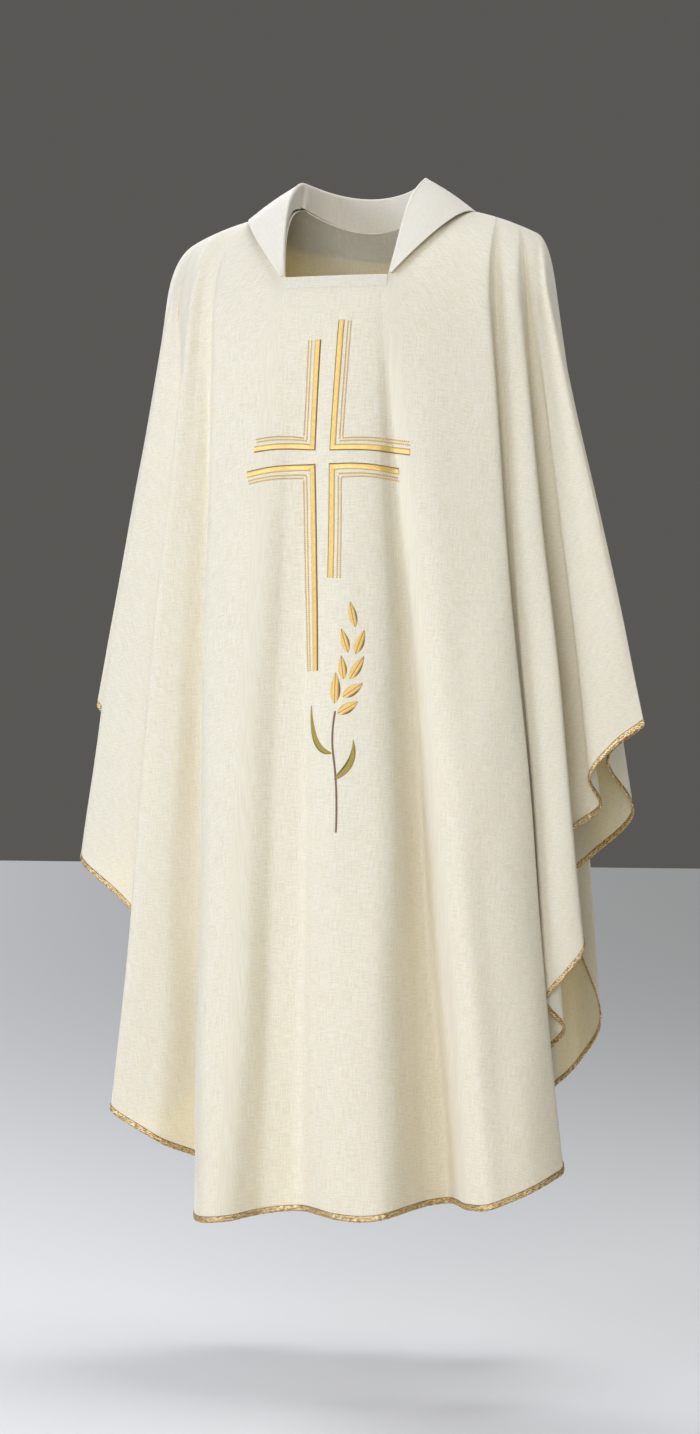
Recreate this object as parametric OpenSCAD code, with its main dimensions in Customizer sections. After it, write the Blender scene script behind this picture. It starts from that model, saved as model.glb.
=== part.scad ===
// Chasuble: a wide sleeveless outer vestment, hung from the shoulders.
// The front faces -Y, up is +Z, and left and right are the wearer's, so +X is left.
// The origin is midway between the neck points, at the height of the shoulder seams there.

/* [Garment] */
// Height from the neck points down to the lowest point of the hem
drop = 1241; // [1100:1:1400]
// Half the width of the shoulders under the cloth
shoulder_half = 215; // [190:1:240]
// How far the shoulder seam falls between neck and shoulder point
shoulder_fall = 42; // [25:1:60]
// How far the chest stands forward of the shoulder seams
chest_depth = 150; // [120:1:175]
// How far the back stands behind the shoulder seams
back_depth = 120; // [95:1:140]
// Thickness of the cloth
cloth_t = 1; // [0.8:0.1:1.2]

/* [Neck] */
// Half the width of the neck opening on the shoulder seam
neck_half = 82; // [74:1:90]
// Half the length of the straight front edge of the neck opening
neck_front_half = 65; // [58:1:72]
// How far the front edge lies below the neck points
neck_front_drop = 105; // [90:1:120]
// How far the back edge lies below the neck points
neck_back_drop = 28; // [20:1:36]
// Height of the stitched band below the front edge
neck_band_h = 14; // [10:1:20]
// Height of the facing inside the back edge
back_facing_h = 32; // [20:1:40]

/* [Collar] */
// Height of the collar's stand at the shoulder
collar_stand = 30; // [20:1:36]
// Extra height of the stand at the back
collar_back_rise = 10; // [0:1:16]
// Reach of the turned-down fall past the neck point
collar_reach = 63; // [50:1:75]
// How far the fall reaches below the back edge of the neck opening
collar_back_fall = 28; // [20:1:40]

/* [Trim] */
// Width of the braid that binds the hem
braid_w = 7.5; // [6:0.5:10]
// Thickness of the braid, both sides together
braid_t = 2.8; // [2.6:0.1:3.2]
// Width of the tape under each shoulder seam
tape_w = 14; // [10:1:20]

/* [Embroidery] */
// Width of the satin bands of the cross
satin_w = 8.4; // [5:0.2:9]
// Height of the satin stitch above the cloth
satin_h = 1.6; // [1:0.1:2.2]
// Width of one thin line beside a band
line_w = 1.6; // [1.2:0.1:2]
// Distance between the two thin lines
line_gap = 3.7; // [3:0.1:6]
// Distance from the middle of a band to the nearer thin line
line_offset = 8.2; // [7:0.1:12]

/* [Hidden] */

cloth_colour = "#efe8d8";
gold_colour = "#c9a24a";
thread_colour = "#d9ab3e";
olive_colour = "#8f8a35";
stem_colour = "#8a6f5c";

gap = 0.3;
cloth_half = cloth_t / 2;
// How far the cloth's edge stays inside the braid's closed end
cloth_end = 1;
// The fold lines below are drawn for this drop
drawn_drop = 1241;
hem_scale = drop / drawn_drop;
top_rows = 8;
skirt_rows = 7;
column_step = 22;
shortest_chord = 12;

// A fold line runs straight from chest height down to the hem. Each is
// [place on the shoulder line, shift in depth at chest height, hem x, hem y, hem z].
// The front's go from the left side seam across to the right one.
FRONT_FOLDS = [
    [215, -72, 364, -86, -645], [210, -45, 330, -88, -672], [204, -32, 298, -84, -711],
    [200, -24, 308, -60, -745], [198, -18, 274, -52, -770], [196, -13, 248, -66, -797],
    [193.5, -20, 265, -86, -855], [191, -30, 302, -119, -915], [183, -21, 284, -125, -940],
    [175, -9, 257, -124, -975], [173, -6, 277, -105, -1010], [171, -6, 254, -98, -1035],
    [169.5, -8, 221, -110, -1065], [168, -14, 250, -128, -1125], [166, -23, 279, -147, -1173],
    [158, -18, 272, -162, -1179], [145, -12, 257, -177, -1188], [120, -6, 229, -191, -1202],
    [98, -3, 205, -201, -1211], [82, -1.8, 179, -187, -1214], [70, -0.6, 153, -146, -1215],
    [65, 0, 132, -122, -1216], [62, 0, 117, -136, -1217], [58, -0.6, 105, -170, -1219],
    [52, -1.6, 92, -200, -1222], [46, -2, 80, -209, -1225], [31, -2.4, 50, -213, -1229],
    [9, -2.4, 20, -210, -1228], [-15, -1.4, -10, -186, -1226], [-32, -0.4, -36, -155, -1227],
    [-42, -0.5, -62, -157, -1229], [-50, -0.8, -85, -164, -1232], [-56, -1, -99, -178, -1234],
    [-65, -1.4, -114, -191, -1237], [-82, -1.8, -135, -195, -1239],
    [-115, -3, -160, -184, -1241],
    [-140, -6, -176, -154, -1240], [-148, 10, -157, -98, -1210], [-154, 12, -186, -50, -1187],
    [-163, 6, -248, -92, -1156], [-175, -8, -303, -90, -1120], [-180, 4, -268, -58, -1118],
    [-186, 8, -226, -48, -1095], [-191, 12, -198, -34, -1035], [-194, 9, -244, -32, -925],
    [-199, 6, -293, -34, -873], [-205, 0, -370, -8, -811], [-208, 6, -308, 12, -796],
    [-211, 8, -276, 24, -739], [-213, 5, -316, 36, -680], [-215, 0, -360, 34, -621]
];
// The back's fold lines, from the left side seam across to the right one
BACK_FOLDS = [
    [215, -72, 364, -86, -645], [212, -36, 306, -6, -692], [205, 2, 328, 60, -757],
    [199, -2, 270, 84, -810], [196, -6, 238, 80, -838], [193, -8, 232, 92, -872],
    [184, 6, 274, 122, -1030], [168, 8, 240, 146, -1072], [152, -10, 180, 100, -1140],
    [128, 6, 206, 160, -1188], [95, 6, 145, 178, -1220], [82, 2, 120, 168, -1226],
    [65, -6, 92, 146, -1230], [40, -2, 52, 160, -1236], [5, 6, 8, 186, -1240],
    [-32, -5, -46, 150, -1240], [-65, 0, -95, 168, -1238], [-82, 4, -118, 180, -1234],
    [-112, 4, -172, 172, -1222], [-140, 0, -236, 142, -1180], [-154, -10, -196, 94, -1135],
    [-168, 4, -262, 108, -1060], [-182, 8, -308, 92, -985], [-192, -8, -236, 66, -890],
    [-201, 4, -330, 68, -800], [-209, -3, -286, 50, -710], [-215, 0, -360, 34, -621]
];

// Chest height, where the cloth leaves the body: at the middle and at the sides
chest_z = -190;
back_z = -200;
side_z = -130;
// How much wider than the shoulders the cloth is at chest height
left_flare = 0.17;
right_flare = 0.19;
// How far out towards the chest the cloth leaves the shoulder before it turns down
handle = 0.55;
// How much of the folds' slope in depth carries on above chest height
calm = 0.4;

function lerp(a, b, t) = a + (b - a) * t;
function unit(v) = v / norm(v);
function side_of(x) = min(abs(x) / shoulder_half, 1);
function flare(x) = x > 0 ? left_flare : right_flare;

// Height of the shoulder seam above or below the neck points
function seam_z(x) = -shoulder_fall * (0.14 * side_of(x) + 0.86 * pow(side_of(x), 3));

// One column of the cloth from a fold row: [top, top handle, chest handle, chest, hem]
function column_points(fold, depth, mid_z) =
    let (
        a = side_of(fold[0]),
        top = [fold[0], 0, seam_z(fold[0])],
        out = depth * sqrt(max(1 - pow(a, 2.4), 0)),
        chest = [
            fold[0] * (1 + flare(fold[0]) * a * a),
            out + fold[1],
            mid_z + (side_z - mid_z) * a * a
        ],
        hem = [fold[2], fold[3], fold[4] * hem_scale],
        rise = top[2] - chest[2],
        slope = (chest - hem) / (chest[2] - hem[2]),
        lead = [slope[0], slope[1] * calm, slope[2]]
    )
    [
        top,
        [lerp(top[0], chest[0], handle), handle * out, top[2] - 0.06 * rise],
        chest + lead * rise / 2,
        chest,
        hem
    ];

// A point on the curve from the seam to chest height
function bend(c, p) =
    c[0] * pow(1 - p, 3) + c[1] * 3 * p * pow(1 - p, 2) + c[2] * 3 * p * p * (1 - p) + c[3] * pow(p, 3);

// How far along that curve it passes a given height
function bend_at(c, z, lo = 0, hi = 1, n = 16) =
    n == 0 ? lo :
    let (mid = (lo + hi) / 2)
    bend(c, mid)[2] > z ? bend_at(c, z, mid, hi, n - 1) : bend_at(c, z, lo, mid, n - 1);

// Cumulative distance along the hem, at least shortest_chord between two folds
function hem_chord(a, b) =
    max(norm([b[2] - a[2], b[3] - a[3], b[4] - a[4]]), shortest_chord);
function hem_knots(folds) = [
    for (i = 0, s = 0; i < len(folds);
        s = s + (i < len(folds) - 1 ? hem_chord(folds[i], folds[i + 1]) : 0), i = i + 1) s
];

// Slope of the smooth curve through the fold rows at row i
function fold_slope(folds, s, i) =
    let (n = len(folds) - 1)
    i == 0 ? (folds[1] - folds[0]) / (s[1] - s[0]) :
    i == n ? (folds[n] - folds[n - 1]) / (s[n] - s[n - 1]) :
    let (h0 = s[i] - s[i - 1], h1 = s[i + 1] - s[i])
    ((folds[i + 1] - folds[i]) * h0 / h1 + (folds[i] - folds[i - 1]) * h1 / h0) / (h0 + h1);

// The fold row at t between rows i and i + 1
function fold_between(folds, s, i, t) =
    let (h = s[i + 1] - s[i], t2 = t * t, t3 = t2 * t)
    folds[i] * (2 * t3 - 3 * t2 + 1) + fold_slope(folds, s, i) * h * (t3 - 2 * t2 + t) +
    folds[i + 1] * (3 * t2 - 2 * t3) + fold_slope(folds, s, i + 1) * h * (t3 - t2);

// Rows beside the neck opening need more columns than their hem width asks for
function beside_neck(a, b) =
    min(abs(a[0]), abs(b[0])) == neck_front_half && max(abs(a[0]), abs(b[0])) == neck_half;
function columns_between(a, b) =
    max(round(hem_chord(a, b) / column_step), beside_neck(a, b) ? 5 : 2);
function spread(folds) =
    let (s = hem_knots(folds))
    [
        for (i = [0 : len(folds) - 2])
            let (n = columns_between(folds[i], folds[i + 1]))
            for (k = [0 : n - 1]) fold_between(folds, s, i, k / n),
        folds[len(folds) - 1]
    ];

// Height of the neck opening's edge, or far above the cloth outside it
function front_edge_z(x) =
    abs(x) <= neck_front_half ? -neck_front_drop :
    abs(x) < neck_half ?
        -neck_front_drop * (neck_half - abs(x)) / (neck_half - neck_front_half) : 1000;
function back_edge_z(x) =
    abs(x) < neck_half ? -neck_back_drop * (1 - pow(x / neck_half, 2)) : 1000;
function edge_z(x, is_front) = is_front ? front_edge_z(x) : back_edge_z(x);

// Where a column starts on its curve: at the neck edge, or just off the seam
seam_start = 0.012;
function start_of(c, is_front) =
    let (z = edge_z(c[0][0], is_front))
    z < 999 ? max(bend_at(c, z), seam_start) : seam_start;

function all_columns(folds, is_front) = [
    for (f = spread(folds))
        column_points(f, is_front ? -chest_depth : back_depth, is_front ? chest_z : back_z)
];
front_columns = all_columns(FRONT_FOLDS, true);
back_columns = all_columns(BACK_FOLDS, false);

// The point of a column a given distance above its hem end
function above_hem(c, d) = c[4] + unit(c[3] - c[4]) * d;

// The middle surface of a panel, as rows of points from the top to the hem
function panel_rows(cols, is_front) =
    let (starts = [for (c = cols) start_of(c, is_front)])
    [
        for (j = [0 : top_rows - 1])
            [for (i = [0 : len(cols) - 1]) bend(cols[i], lerp(starts[i], 1, j / top_rows))],
        for (j = [0 : skirt_rows])
            [for (c = cols) lerp(c[3], above_hem(c, cloth_end), j / skirt_rows)]
    ];

// Unit normals of a grid of points. They point out of the front panel and into the back one.
function grid_normal(g, j, i) =
    let (
        rows = len(g) - 1,
        last = len(g[0]) - 1,
        across = g[j][min(i + 1, last)] - g[j][max(i - 1, 0)],
        down = g[min(j + 1, rows)][i] - g[max(j - 1, 0)][i]
    )
    unit(cross(across, down));
function normals(g) =
    [for (j = [0 : len(g) - 1]) [for (i = [0 : len(g[0]) - 1]) grid_normal(g, j, i)]];

function flat_list(rows) = [for (r = rows) each r];
function shifted(g, n, d) =
    [for (j = [0 : len(g) - 1]) [for (i = [0 : len(g[0]) - 1]) g[j][i] + n[j][i] * d]];

// A closed sheet between two grids of the same size, a on the side the normals point to
module sheet(a, b) {
    rows = len(a);
    cols = len(a[0]);
    size = rows * cols;
    function at(j, i) = j * cols + i;
    outside = [
        for (j = [0 : rows - 2], i = [0 : cols - 2])
            each [[at(j, i), at(j + 1, i), at(j + 1, i + 1)], [at(j, i), at(j + 1, i + 1), at(j, i + 1)]]
    ];
    inside = [for (t = outside) [t[0] + size, t[2] + size, t[1] + size]];
    border = [
        for (i = [0 : cols - 2]) [at(0, i), at(0, i + 1)],
        for (j = [0 : rows - 2]) [at(j, cols - 1), at(j + 1, cols - 1)],
        for (i = [cols - 1 : -1 : 1]) [at(rows - 1, i), at(rows - 1, i - 1)],
        for (j = [rows - 1 : -1 : 1]) [at(j, 0), at(j - 1, 0)]
    ];
    rim = [
        for (e = border)
            each [[e[0], e[1], e[1] + size], [e[0], e[1] + size, e[0] + size]]
    ];
    polyhedron(concat(flat_list(a), flat_list(b)), concat(outside, inside, rim));
}

// A sheet of thickness t whose middle lies d from the grid g, along its normals
module offset_sheet(g, d, t) {
    n = normals(g);
    sheet(shifted(g, n, d + t / 2), shifted(g, n, d - t / 2));
}

// A closed sweep through rings of the same number of points
module rings(list) {
    n = len(list[0]);
    last = len(list) - 1;
    sides = [
        for (k = [0 : last - 1], i = [0 : n - 1])
            let (a = k * n + i, b = k * n + (i + 1) % n)
            each [[a, b, b + n], [a, b + n, a + n]]
    ];
    first_cap = [for (i = [1 : n - 2]) [0, i + 1, i]];
    last_cap = [for (i = [1 : n - 2]) [last * n, last * n + i, last * n + i + 1]];
    polyhedron(flat_list(list), concat(sides, first_cap, last_cap));
}

module front_panel() {
    color(cloth_colour)
    offset_sheet(panel_rows(front_columns, true), 0, cloth_t);
}

module back_panel() {
    color(cloth_colour)
    offset_sheet(panel_rows(back_columns, false), 0, cloth_t);
}

// The braid is folded over the cloth's edge: a U in section, open at the top
function braid_section(c, n) =
    let (
        down = unit(c[4] - c[3]),
        o = braid_t / 2,
        s = cloth_half + gap
    )
    [
        c[4] - down * braid_w + n * o, c[4] - down * braid_w + n * s,
        c[4] - down * (cloth_end - gap) + n * s, c[4] - down * (cloth_end - gap) - n * s,
        c[4] - down * braid_w - n * s, c[4] - down * braid_w - n * o,
        c[4] - n * o, c[4] + n * o
    ];
module hem_braid(cols, is_front, turn) {
    g = panel_rows(cols, is_front);
    last = len(g) - 1;
    rings([for (i = [0 : len(cols) - 1]) braid_section(cols[i], grid_normal(g, last, i) * turn)]);
}
module front_hem_braid() { color(gold_colour) hem_braid(front_columns, true, -1); }
module back_hem_braid() { color(gold_colour) hem_braid(back_columns, false, 1); }

// Part of a panel from the neck edge down by h, for columns within x_max of the middle
function neck_strip(cols, is_front, x_max, h, n) =
    let (inner = [for (c = cols) if (abs(c[0][0]) <= x_max) c])
    [
        for (j = [0 : n])
            [for (c = inner) bend(c, bend_at(c, edge_z(c[0][0], is_front) - h * j / n))]
    ];
module front_neck_band() {
    band_t = 0.8;
    color(cloth_colour)
    offset_sheet(
        neck_strip(front_columns, true, neck_front_half, neck_band_h, 2),
        cloth_half + gap / 2 + band_t / 2, band_t);
}
module back_neck_facing() {
    facing_t = 0.8;
    color(cloth_colour)
    offset_sheet(
        neck_strip(back_columns, false, neck_half - 6, back_facing_h, 4),
        cloth_half + gap + facing_t / 2, facing_t);
}

// Tape under a shoulder seam, from beside the collar to the shoulder point
module shoulder_tape(side) {
    tape_t = 0.8;
    below = 2.4;
    bow = 0.004;
    from_x = neck_half + 8;
    to_x = shoulder_half - 14;
    steps = 10;
    strips = 4;
    g = [
        for (j = [0 : strips])
            [for (i = [0 : steps])
                let (x = lerp(from_x, to_x, i / steps), y = tape_w * (j / strips - 0.5))
                [side * x, y, seam_z(x) - below - bow * y * y]]
    ];
    color(cloth_colour) offset_sheet(g, 0, tape_t);
}
module left_shoulder_tape() { shoulder_tape(1); }
module right_shoulder_tape() { shoulder_tape(-1); }

// The collar follows the neck edge from one front corner round the back to the other.
// turn_at runs from 0 at the left corner to 1 at the right one.
collar_steps = 36;
collar_lift = 6;
collar_layer_t = 0.7;
collar_layer_gap = 0.3;
foot_clearance = 1.2;
crest_round = 4;
fall_bow = 0.04;
// How much the stand leans in at the sides and at the back, per mm of height
side_lean = 0.06;
back_lean = 0.12;
function body_y(x, z, is_front) =
    let (
        a = side_of(x),
        mid = (is_front ? chest_z : back_z),
        low = mid + (side_z - mid) * a * a,
        k = min(max((z - low) / (seam_z(x) - low), 0), 1)
    )
    (is_front ? -chest_depth : back_depth) * sqrt(max(1 - pow(a, 2.4), 0)) * sqrt(1 - k * k);

// Share of the way from the front corner (0) to the neck point (1), then to the back (2)
function collar_way(t) = t < 0.5 ? 4 * t : 4 * (1 - t);
function collar_side(t) = t < 0.5 ? 1 : -1;
function smooth(k) = let (c = min(max(k, 0), 1)) c * c * (3 - 2 * c);

// Foot of the stand, on the neck edge
function collar_foot(t) =
    let (w = collar_way(t), s = collar_side(t))
    w <= 1 ?
        let (x = lerp(neck_front_half, neck_half, w), z = -neck_front_drop * (1 - w))
        [s * x, body_y(x, z, true), z] :
        let (x = neck_half * cos(90 * (w - 1)), z = back_edge_z(x))
        [s * x, body_y(x, z, false), z];
// Fold at the top of the stand
function collar_crest(t) =
    let (w = collar_way(t), f = collar_foot(t),
        up = collar_stand * smooth(w / 1.05) + collar_back_rise * smooth(w - 1))
    f + [
        -side_lean * up * sign(f[0]) * min(w, 1),
        -back_lean * up * smooth(w - 1),
        up + foot_clearance
    ];
// Outer edge of the fall, just clear of the panels
function collar_tip(t) =
    let (w = collar_way(t), s = collar_side(t), reach = neck_half + collar_reach)
    w <= 1 ?
        let (k = smooth(w) * 0.35 + w * 0.65, x = lerp(neck_front_half + 3, reach, k),
            z = lerp(-neck_front_drop, seam_z(reach), k))
        [s * x, body_y(x, z, true) - collar_lift * (1 - w) * 0.6 - 2, z + collar_lift * w] :
        let (b = 90 * (w - 1), x = reach * pow(cos(b), 0.8),
            z = lerp(seam_z(reach), -neck_back_drop - collar_back_fall, sin(b)))
        [s * x, body_y(x, z, false) + collar_lift * sin(b), z + collar_lift * (1 - sin(b)) + 2];

// Profile from the foot over the crest to the tip
function collar_profile(t) =
    let (
        f = collar_foot(t) + [0, 0, foot_clearance], k = collar_crest(t), e = collar_tip(t),
        out = [e[0] - k[0], e[1] - k[1], 0],
        o = norm(out) < 1 ? [collar_side(t), 0, 0] : unit(out),
        r = min(crest_round, 0.25 * norm(e - k) + 0.4)
    )
    [
        f, lerp(f, k, 0.5), k - [0, 0, r * 0.6], k + o * r * 0.4 + [0, 0, r * 0.1],
        k + o * r * 1.2 - [0, 0, r * 0.4], lerp(k, e, 0.4) + [0, 0, fall_bow * norm(e - k)],
        lerp(k, e, 0.7) + [0, 0, 0.75 * fall_bow * norm(e - k)], e
    ];
// Round off the bends along a list, n times over, with its ends kept
function soften(list, n) =
    n == 0 ? list :
    let (last = len(list) - 1)
    soften([
        for (i = [0 : last])
            i == 0 || i == last ? list[i] : (list[i - 1] + list[i] * 2 + list[i + 1]) / 4
    ], n - 1);
// The foot follows the neck edge, and all above it is rounded off over the shoulders
function collar_grid() =
    let (
        p = [for (i = [0 : collar_steps]) collar_profile(lerp(0.012, 0.988, i / collar_steps))],
        q = soften(p, 2)
    )
    [
        for (j = [0 : len(p[0]) - 1])
            [for (i = [0 : collar_steps]) lerp(p[i][j], q[i][j], min(j / 2, 1))]
    ];
module collar_layer(side) {
    d = side * (collar_layer_t + collar_layer_gap) / 2;
    color(cloth_colour) offset_sheet(collar_grid(), d, collar_layer_t);
}
module upper_collar() { collar_layer(-1); }
module under_collar() { collar_layer(1); }

// A point of the front panel's middle surface at a given x and height, on its facets.
// The plain columns run across the front between the outermost upright folds.
front_grid = panel_rows(front_columns, true);
plain = [
    for (i = [0 : len(front_columns) - 1])
        if (front_columns[i][0][0] <= 120 && front_columns[i][0][0] >= -115) i
];
function row_at(i, z, lo, hi) =
    hi - lo < 2 ? lo :
    let (mid = floor((lo + hi) / 2))
    front_grid[mid][i][2] > z ? row_at(i, z, mid, hi) : row_at(i, z, lo, mid);
function column_at(i, z) =
    let (
        j = row_at(i, z, 0, len(front_grid) - 1),
        a = front_grid[j][i],
        b = front_grid[j + 1][i]
    )
    lerp(a, b, (z - a[2]) / (b[2] - a[2]));
function find_column(x, z, lo, hi) =
    hi - lo < 2 ? lo :
    let (mid = floor((lo + hi) / 2))
    column_at(mid, z)[0] > x ? find_column(x, z, mid, hi) : find_column(x, z, lo, mid);
function on_front(x, z) =
    let (
        i = find_column(x, z, plain[0], plain[len(plain) - 1]),
        a = column_at(i, z),
        b = column_at(i + 1, z)
    )
    lerp(a, b, (x - a[0]) / (b[0] - a[0]));
normal_reach = 4;
function front_normal(x, z) =
    let (
        up = on_front(x, z + normal_reach) - on_front(x, z - normal_reach),
        left = on_front(x + normal_reach, z) - on_front(x - normal_reach, z)
    )
    unit(cross(left, up));

line_h = 0.8;
stem_w = 2.2;
stem_h = 1;
leaf_w = 8;
leaf_h = 1.2;

// Raised stitching along a path of [x, z] points, each with its own width
section_shape = [[-0.5, 0], [-0.38, 0.75], [0, 1], [0.38, 0.75], [0.5, 0]];
module stitching(path, widths, h) {
    last = len(path) - 1;
    centre = [for (p = path) on_front(p[0], p[1])];
    rings([
        for (i = [0 : last])
            let (
                n = front_normal(path[i][0], path[i][1]),
                along = unit(centre[min(i + 1, last)] - centre[max(i - 1, 0)]),
                across = unit(cross(n, along)),
                base = centre[i] + n * (cloth_half + gap)
            )
            [for (q = section_shape) base + across * q[0] * widths[i] + n * q[1] * h]
    ]);
}
function line_points(a, b, n) = [for (i = [0 : n]) lerp(a, b, i / n)];
function same(v, n) = [for (i = [0 : n - 1]) v];

// Each quarter of the cross is an L: [corner, end of the upright, end of the arm]
UPPER_RIGHT = [[-24, -312], [-17, -183], [-96, -313]];
UPPER_LEFT = [[2, -313], [12, -160], [95, -320]];
LOWER_RIGHT = [[-24, -336], [-16, -580], [-105, -343]];
LOWER_LEFT = [[1, -336], [0, -469], [80, -342]];
upright_steps = 8;
arm_steps = 6;
// How far the arms bow up between their ends
arm_bow = 2.6;
function bowed_points(a, b, n) =
    [for (i = [0 : n]) lerp(a, b, i / n) + [0, arm_bow * sin(180 * i / n)]];
function quarter_path(q, d) =
    let (
        c = q[0], u = unit(q[1] - c), a = unit(q[2] - c),
        corner = c + (u + a) * d
    )
    concat(
        line_points(q[1] + a * d, corner + u * 1, upright_steps),
        bowed_points(corner + a * 1, q[2] + u * d, arm_steps)
    );
module cross_band(q) {
    path = quarter_path(q, 0);
    color(thread_colour) stitching(path, same(satin_w, len(path)), satin_h);
}
module cross_lines(q) {
    color(thread_colour)
    for (d = [line_offset, line_offset + line_gap]) {
        path = quarter_path(q, d);
        stitching(path, same(line_w, len(path)), line_h);
    }
}
module cross_upper_left_band() { cross_band(UPPER_LEFT); }
module cross_upper_right_band() { cross_band(UPPER_RIGHT); }
module cross_lower_left_band() { cross_band(LOWER_LEFT); }
module cross_lower_right_band() { cross_band(LOWER_RIGHT); }
module cross_upper_left_lines() { cross_lines(UPPER_LEFT); }
module cross_upper_right_lines() { cross_lines(UPPER_RIGHT); }
module cross_lower_left_lines() { cross_lines(LOWER_LEFT); }
module cross_lower_right_lines() { cross_lines(LOWER_RIGHT); }

// Kernels of the ear, from the top: [base, tip, width]
KERNELS = [
    [[32, -528], [25, -498], 10], [[24, -558], [15, -530], 10], [[33, -560], [43, -532], 11],
    [[20, -590], [16, -562], 10], [[27, -590], [43, -563], 11], [[11, -619], [10.5, -582], 12],
    [[20, -611], [42, -595], 12], [[15, -631], [37, -617], 12]
];
// Widths along a kernel or leaf from its base, fullest at the given share of its length
function lens(n, full) =
    let (bias = ln(0.5) / ln(full))
    [for (i = [0 : n]) 0.08 + 0.92 * pow(sin(180 * pow(i / n, bias)), 0.9)];
module kernel(i) {
    k = KERNELS[i];
    n = 6;
    color(thread_colour) stitching(line_points(k[0], k[1], n), lens(n, 0.42) * k[2], satin_h);
}
module wheat_kernel_1() { kernel(0); }
module wheat_kernel_2() { kernel(1); }
module wheat_kernel_3() { kernel(2); }
module wheat_kernel_4() { kernel(3); }
module wheat_kernel_5() { kernel(4); }
module wheat_kernel_6() { kernel(5); }
module wheat_kernel_7() { kernel(6); }
module wheat_kernel_8() { kernel(7); }

// A smooth curve through three points, bent towards the middle one
function arc_points(a, b, c, n) =
    [for (i = [0 : n]) let (t = i / n) a * (1 - t) * (1 - t) + b * 2 * t * (1 - t) + c * t * t];
module wheat_stem() {
    path = concat(
        arc_points([19, -772], [20, -720], [12.5, -680], 6),
        arc_points([12, -676], [8.5, -655], [12, -628], 3));
    color(stem_colour) stitching(path, same(stem_w, len(path)), stem_h);
}
module leaf(base, belly, tip) {
    n = 8;
    color(olive_colour) stitching(arc_points(base, belly, tip, n), lens(n, 0.36) * leaf_w, leaf_h);
}
module wheat_leaf_left() { leaf([15, -709], [38, -692], [33, -662]); }
module wheat_leaf_right() { leaf([10.5, -678], [-19, -676], [-21, -621]); }

front_panel();
back_panel();
front_neck_band();
back_neck_facing();
left_shoulder_tape();
right_shoulder_tape();
upper_collar();
under_collar();
front_hem_braid();
back_hem_braid();
cross_upper_left_band();
cross_upper_right_band();
cross_lower_left_band();
cross_lower_right_band();
cross_upper_left_lines();
cross_upper_right_lines();
cross_lower_left_lines();
cross_lower_right_lines();
wheat_kernel_1();
wheat_kernel_2();
wheat_kernel_3();
wheat_kernel_4();
wheat_kernel_5();
wheat_kernel_6();
wheat_kernel_7();
wheat_kernel_8();
wheat_stem();
wheat_leaf_left();
wheat_leaf_right();
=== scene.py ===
"""Chasuble: ivory cloth with a turned-down collar, braid round the hem, and an embroidered cross
and ear of wheat.

Shapes are worked out in millimetres in the part's own frame and written to meshes in metres.
"""

import math

import bpy
import numpy as np
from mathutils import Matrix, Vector
from mathutils.bvhtree import BVHTree


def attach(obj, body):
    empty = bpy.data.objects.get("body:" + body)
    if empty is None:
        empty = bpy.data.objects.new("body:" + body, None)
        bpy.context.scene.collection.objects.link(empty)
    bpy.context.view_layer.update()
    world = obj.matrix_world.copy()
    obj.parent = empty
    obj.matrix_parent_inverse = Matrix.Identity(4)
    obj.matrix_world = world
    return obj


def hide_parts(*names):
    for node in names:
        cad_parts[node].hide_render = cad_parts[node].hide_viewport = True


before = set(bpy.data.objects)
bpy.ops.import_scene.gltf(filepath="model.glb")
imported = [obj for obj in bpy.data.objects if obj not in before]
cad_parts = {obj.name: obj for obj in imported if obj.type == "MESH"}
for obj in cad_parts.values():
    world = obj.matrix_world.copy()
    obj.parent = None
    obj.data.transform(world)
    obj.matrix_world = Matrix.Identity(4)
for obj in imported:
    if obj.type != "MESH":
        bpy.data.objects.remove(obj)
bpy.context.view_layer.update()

MM = 0.001

# ---------------------------------------------------------------- dimensions
SHOULDER_HALF = 215.0
SHOULDER_FALL = 42.0
CHEST_DEPTH = 150.0
BACK_DEPTH = 120.0
ROUND = 2.4  # how square the body is in plan: 2 is an ellipse
CLOTH_T = 0.9
NECK_HALF = 82.0
NECK_FRONT_HALF = 65.0
NECK_FRONT_DROP = 105.0
NECK_BACK_DROP = 28.0
NECK_BAND_H = 14.0
FACING_H = 32.0
COLLAR_STAND = 30.0
COLLAR_BACK_RISE = 10.0
COLLAR_REACH = 63.0
COLLAR_BACK_FALL = 28.0
BRAID_W = 7.5
BRAID_PITCH = 3.4
CHEST_Z = -190.0
BACK_Z = -200.0
SIDE_Z = -130.0
LEFT_FLARE = 0.17
RIGHT_FLARE = 0.19
HANDLE = 0.55  # how far out from the seam the cloth turns down
CALM = [1, 0.4, 1]  # share of the folds' slope kept above chest height, in x, y and z
COLUMN_STEP = 5.0
TOP_ROWS = 26
SKIRT_ROWS = 92
NO_EDGE = 1e3  # height that no column reaches

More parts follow.
